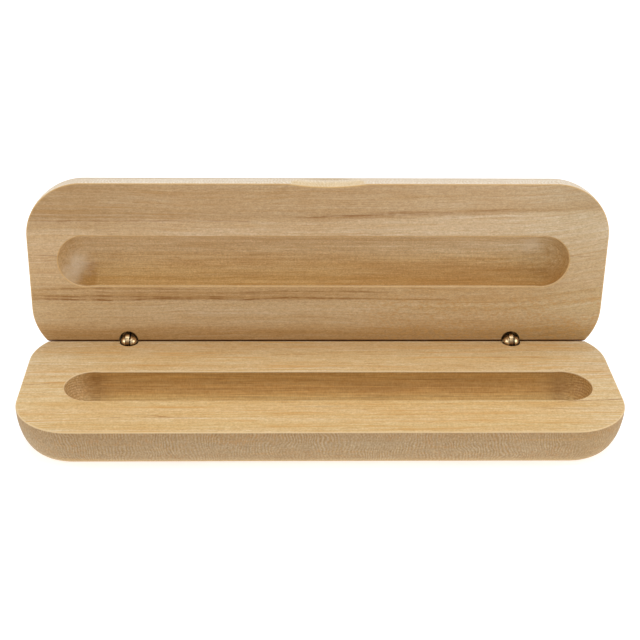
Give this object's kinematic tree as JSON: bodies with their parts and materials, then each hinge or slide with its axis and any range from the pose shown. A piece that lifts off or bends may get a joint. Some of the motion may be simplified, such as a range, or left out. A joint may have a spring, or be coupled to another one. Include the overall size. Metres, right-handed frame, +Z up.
{
  "type": "fountain pen case",
  "caption": "Hinged wooden box for one fountain pen: two rounded halves with matching pen troughs, small brass barrel hinges and a thumb notch.",
  "frame": {"origin": "centre of the base's flat underside", "axes": "+X along the pen, +Y towards the hinge side, +Z up"},
  "size_m": [0.1752, 0.0675, 0.0643],
  "materials": {
    "wood": "sanded, semi-matte clear",
    "brass": "aged brass, lightly polished"
  },
  "bodies": {
    "base": {"base_body": "wood", "left_base_barrel": "brass", "left_knuckle_pin": "brass", "right_base_barrel": "brass", "right_knuckle_pin": "brass"},
    "lid": {"lid_body": "wood", "left_lid_barrel": "brass", "left_tongue": "brass", "left_tongue_rivet": "brass", "right_lid_barrel": "brass", "right_tongue": "brass", "right_tongue_rivet": "brass"}
  },
  "joints": [
    {"name": "lid_hinge", "type": "hinge", "parent": "base", "child": "lid", "pos_m": [0, 0.02245, 0.0132], "axis": [1, 0, 0], "range_deg": [0, 93.8]}
  ]
}
